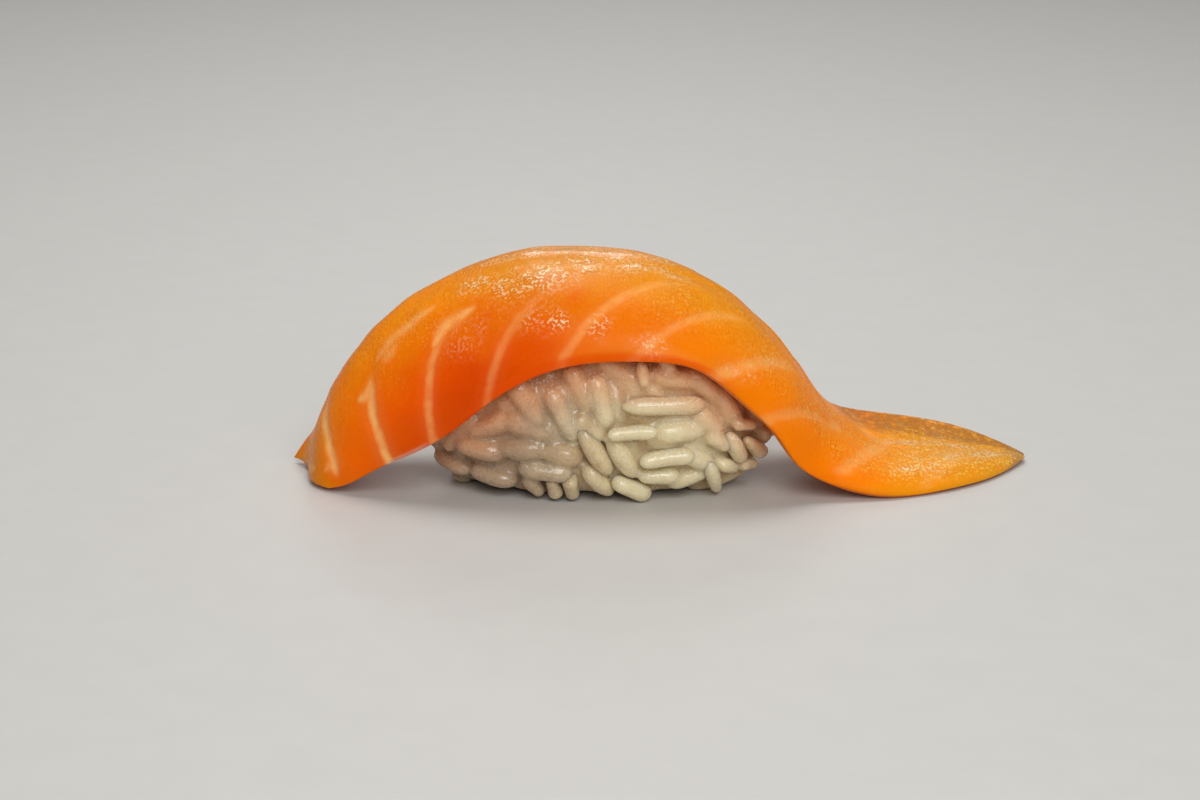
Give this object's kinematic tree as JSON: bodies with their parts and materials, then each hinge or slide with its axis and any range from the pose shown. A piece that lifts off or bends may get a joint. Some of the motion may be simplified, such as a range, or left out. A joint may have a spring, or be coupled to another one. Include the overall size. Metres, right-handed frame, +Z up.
{
  "type": "salmon nigiri",
  "caption": "A slice of raw salmon draped over an oblong ball of pressed rice, blunt at one end and trailing off as a flat pointed tail at the other.",
  "frame": {"origin": "the middle of the bounding box's underside, on the surface the nigiri stands on", "axes": "+X along the slice, from its blunt toe at -X to its tail tip at +X; -Y is the near side; +Z up"},
  "size_m": [0.0859, 0.0254, 0.027],
  "materials": {
    "salmon": "moist raw salmon flesh, orange with pale fat lines",
    "rice": "moist cooked rice, translucent cream white"
  },
  "bodies": {
    "root": {"salmon_slice": "salmon", "rice_ball": "rice"}
  },
  "joints": []
}
